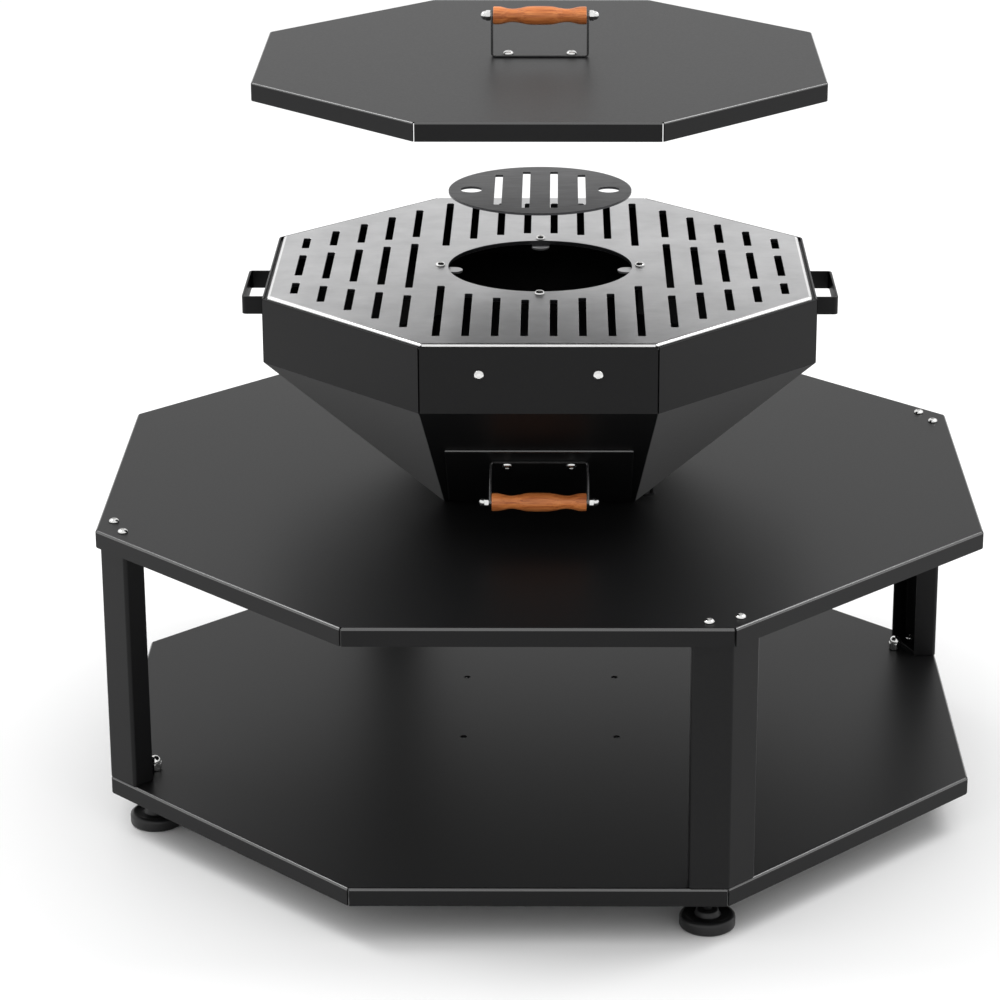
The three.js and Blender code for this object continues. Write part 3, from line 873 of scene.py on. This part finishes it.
def strap():
    outer = HANDLE_INSIDE / 2 + STRAP_SHEET
    half = STRAP_SHEET / 2
    arm_top = GRIP_HEIGHT + HANDLE_WIDTH / 2
    corners = [
        (half - outer, arm_top), (half - outer, half), (outer - half, half), (outer - half, arm_top),
    ]
    path = rounded(corners, 4, closed=False)
    length = path_length(path)
    r = HANDLE_WIDTH / 2
    outline = arc(r, 0, r, 90, 270, 14) + arc(length - r, 0, r, -90, 90, 14)
    holes = [circle(r, 0, 4.4), circle(length - r, 0, 4.4)]
    holes += [circle(length / 2 + x, 0, 4.6) for x in (-HANDLE_BOLT, HANDLE_BOLT)]
    return fold(plate(outline, -half, half, holes, chamfer=0.6), path)


def grip():
    reach = HANDLE_INSIDE / 2 - CLEARANCE
    half = [
        (0, 12.6), (8, 12.55), (15.5, 12.2), (21, 11.3), (25.5, 10.2), (27.4, 9.9), (28.3, 10.1),
        (29.2, 9.75), (33, 9.1), (38, 8.9), (43, 9.4), (48, 10.6), (53, 11.75), (57, 12.05),
        (61.5, 12), (62.8, 11.6), (reach, 10.9),
    ]
    left = [(-z, r) for z, r in reversed(half[1:])]
    rings = smooth_profile(left + half, 4)
    bored = [(-reach, 4.5), *rings, (reach, 4.5)]
    return rotated(turned(bored, 64, closed=True), 90, "Y")


def rod():
    outer = HANDLE_INSIDE / 2 + STRAP_SHEET + CLEARANCE
    nut = shifted(cap_nut(13, 6.5, 13.2, 4.1, 8), z=outer)
    bar = turned([(-outer - 6, 0), (-outer - 6, 4), (outer + 6, 4), (outer + 6, 0)], 32)
    return rotated(joined(nut, rotated(nut, 180, "X"), bar), 90, "Y")


def handle(owner, body, place, sheet, nut_height=6.5, past=1.5):
    """A strap handle whose base is at the origin of a frame and which stands out along its Z."""
    level = Matrix.Translation((0, 0, CLEARANCE))
    lifted = Matrix.Translation((0, 0, CLEARANCE + GRIP_HEIGHT))
    across = place.to_3x3() @ Vector((0, 1, 0))

    def on_strap_edge(centre, normal):
        return abs(normal.dot(across)) > 0.3

    # Edges of the strap take the more reflective coat: a painted highlight along them.
    piece(f"{owner}_bracket_look", placed(strap(), place @ level), body, "black_coat",
          finishes=[(BEND_HIGHLIGHT_COAT, on_strap_edge)])
    piece(f"{owner}_grip_look", placed(grip(), place @ lifted), body, "turned_wood")
    piece(f"{owner}_rod_look", placed(rod(), place @ lifted), body, "stainless_fasteners")
    head = STRAP_SHEET + 2 * CLEARANCE
    for side, x in (("left", -HANDLE_BOLT), ("right", HANDLE_BOLT)):
        bolt = button_bolt(STRAP_SHEET + sheet + 3 * CLEARANCE, nut_height, past)
        matrix = place @ Matrix.Translation((x, 0, head))
        piece(f"{owner}_bolt_{side}_look", placed(bolt, matrix), body, "stainless_fasteners")


# Ash drawer

def ash_drawer():
    face = face_frame(DRAWER_TOP)
    holes = [circle(x, -DRAWER_HANDLE_DROP, M8_HOLE) for x in (-HANDLE_BOLT, HANDLE_BOLT)]
    front_half = high("drawer_tray").x
    outline = rounded(rectangle(-front_half, front_half, -DRAWER_LENGTH, 0), 3)
    front = plate(outline, CLEARANCE, CLEARANCE + DRAWER_SHEET, holes, chamfer=0.4, round_top=2.4)
    front = placed(front, face)
    seam = CLEARANCE + DRAWER_SHEET / 2
    floor_front = front_face(TRAY_FLOOR + 1, seam)
    floor = rectangle(-TRAY_HALF, TRAY_HALF, floor_front, TRAY_BACK)
    floor = plate(floor, TRAY_FLOOR, TRAY_FLOOR + TRAY_SHEET)
    wall = [
        Vector((front_face(TRAY_FLOOR, seam), TRAY_FLOOR)), Vector((TRAY_BACK, TRAY_FLOOR)),
        Vector((TRAY_BACK, TRAY_WALL_TOP)), Vector((front_face(TRAY_WALL_TOP, seam), TRAY_WALL_TOP)),
    ]
    on_edge = Matrix(((0, 0, 1, 0), (1, 0, 0, 0), (0, 1, 0, 0), (0, 0, 0, 1)))
    walls = [placed(plate(wall, x, x + TRAY_SHEET), on_edge) for x in (-TRAY_HALF, TRAY_HALF - TRAY_SHEET)]
    end = plate(rectangle(1 - TRAY_HALF, TRAY_HALF - 1, TRAY_FLOOR, TRAY_WALL_TOP), 0, TRAY_SHEET)
    end = shifted(rotated(end, 90, "X"), 0, TRAY_BACK)

    def on_top_edge(centre, normal):
        return normal.y < -0.5 and normal.z > -0.6

    # The drawer front's rounded top edge takes the more reflective coat: a painted highlight along it.
    piece("drawer_tray_look", joined(front, floor, *walls, end), "ash_drawer", "black_coat",
          finishes=[(BEND_HIGHLIGHT_COAT, on_top_edge)])
    base = face @ Matrix.Translation((0, -DRAWER_HANDLE_DROP, CLEARANCE + DRAWER_SHEET))
    handle("drawer", "ash_drawer", base, DRAWER_SHEET)


# Grill

def grill_slots():
    """Eight columns before and behind the centre hole, and five columns of three slots on each side of it."""
    start_radius, end = 168, 332
    side_start, side_pitch = 178, 38.6
    taper_start, taper = 178.3, 0.383
    bridge = 36
    diagonal_end = 471
    slots = []
    for side in (-1, 1):
        for i in range(4):
            x = side * SLOT_PITCH * (i + 0.5)
            start = math.sqrt(start_radius**2 - x**2)
            slots += [slot(x, start, end), slot(x, -end, -start)]
        for i in range(5):
            x = side_start + side_pitch * i
            reach = taper_start - taper * x
            slots.append(slot(side * x, -reach, reach))
            slots.append(slot(side * x, reach + bridge, diagonal_end - x))
            slots.append(slot(side * x, x - diagonal_end, -reach - bridge))
    return slots


def grill():
    size, bottom = high("grill_plate"), low("grill_plate").z
    directions = arc(0, 0, 1, 0, 315, 7)

    # Faces of the rounded rim take the light rim steel, except near the corners: a painted highlight that
    # breaks at each corner.
    def on_rim(centre, normal):
        next_reach, reach = sorted(centre.x * way.x + centre.y * way.y for way in directions)[-2:]
        return reach > size.x - GRILL_EDGE and reach - next_reach > 3 and normal.z > -0.5

    holes = [circle(0, 0, GRILL_BORE, 128), *grill_slots()]
    for place in SIDE_ANGLES:
        centre = middle(f"tab_bolt_{place}")
        holes.append(circle(centre.x, centre.y, M8_HOLE, 24))
    shape = plate(octagon(size.x, 4.5), bottom, size.z, holes, chamfer=0.35, round_top=GRILL_EDGE)
    # Upright faces, the walls of the slots and holes, take the dark grate steel: painted shade inside the
    # slots.
    piece("grill_plate_look", shape, "grill", "grill_steel",
          finishes=[(GRATE_STEEL, upright), (RIM_HIGHLIGHT_STEEL, on_rim)])

    for place, angle in SIDE_ANGLES.items():
        node, bolt_node = f"grate_tab_{place}", f"tab_bolt_{place}"
        end = (high("grate_tab_right").y - low("grate_tab_right").y) / 2
        outline = arc(TAB_INNER + end, 0, end, 90, 270, 16)
        outline += [Vector((TAB_OUTER, -end)), Vector((TAB_OUTER, end))]
        tab = plate(outline, low(node).z, high(node).z, [circle(TAB_BOLT, 0, M8_HOLE, 24)])
        piece(node + "_look", rotated(tab, angle), "grill", "grill_steel")
        centre = middle(bolt_node)
        bolt = button_bolt(size.z + CLEARANCE - (low(node).z - CLEARANCE))
        bolt = shifted(bolt, centre.x, centre.y, high(bolt_node).z - HEAD_HEIGHT)
        piece(bolt_node + "_look", bolt, "grill", "stainless_fasteners")


def centre_grate():
    size, bottom = high("centre_grate"), low("centre_grate").z
    slotted_radius, finger_hole, finger_place = 98, 15, 94.6
    holes = []
    for column in (-1.5, -0.5, 0.5, 1.5):
        x = column * SLOT_PITCH
        reach = math.sqrt(slotted_radius**2 - x**2)
        holes.append(slot(x, -reach, reach))
    holes += [circle(x, 0, finger_hole, 40) for x in (-finger_place, finger_place)]
    shape = plate(circle(0, 0, size.x, 128), bottom, size.z, holes, chamfer=0.35)
    piece("centre_grate_look", shape, "centre_grate", "grate_steel")


# Lid

def lid():
    size = high("lid_pan")
    holes = [circle(x, 0, M8_HOLE, 24) for x in (-HANDLE_BOLT, HANDLE_BOLT)]
    shape = pan(size.x, size.z, low("lid_pan").z, LID_FOLD_RADIUS, LID_SLIT, holes)
    # Bends of the lid take the more reflective coat: painted highlight lines along the folds.
    piece("lid_pan_look", shape, "lid", "black_coat",
          sheet=LID_SHEET, finishes=[(BEND_HIGHLIGHT_COAT, on_bend)], round_edges=0.35)
    handle("lid", "lid", Matrix.Translation((0, 0, size.z)), LID_SHEET, nut_height=4, past=0)


# Stage, light and camera

def stage():
    mesh = bpy.data.meshes.new("floor")
    half = 40
    corners = [(-half, -half, 0), (half, -half, 0), (half, half, 0), (-half, half, 0)]
    mesh.from_pydata(corners, [], [[0, 1, 2, 3]])
    pale, shader = material("pale_floor", (0.97, 0.97, 0.97), 0.9)
    shader.inputs["Specular IOR Level"].default_value = 0.0
    mesh.materials.append(pale)
    floor = bpy.data.objects.new("floor", mesh)
    bpy.context.scene.collection.objects.link(floor)

    world = bpy.data.worlds.new("studio")
    world.use_nodes = True
    background = world.node_tree.nodes["Background"]
    background.inputs["Color"].default_value = (1, 1, 1, 1)
    background.inputs["Strength"].default_value = 1.0
    bpy.context.scene.world = world
    bpy.context.scene.view_settings.view_transform = "Standard"

    for name, side in (("softbox_left", -1), ("softbox_right", 1)):
        softbox = bpy.data.lights.new(name, "AREA")
        softbox.shape = "SQUARE"
        softbox.size = 1.6
        softbox.energy = 48
        lamp = bpy.data.objects.new(name, softbox)
        lamp.location = (side * 2.6, 0.5, 3.6)
        lamp.rotation_euler = (0, side * math.radians(38), 0)
        bpy.context.scene.collection.objects.link(lamp)

    camera = bpy.data.cameras.new("camera")
    camera.sensor_width = 36
    camera.lens = 123.03
    camera.shift_x = -0.0479
    eye = bpy.data.objects.new("camera", camera)
    eye.location = (0.02579, -4.57227, 2.0563)
    eye.rotation_euler = (math.radians(90 - 19.912), 0, math.radians(0.188))
    bpy.context.scene.collection.objects.link(eye)
    bpy.context.scene.camera = eye


table_pans()
legs()
feet()
leg_bolts()
hopper()
band()
side_handles()
charcoal_grate()
air_damper()
ash_drawer()
grill()
centre_grate()
lid()
stage()
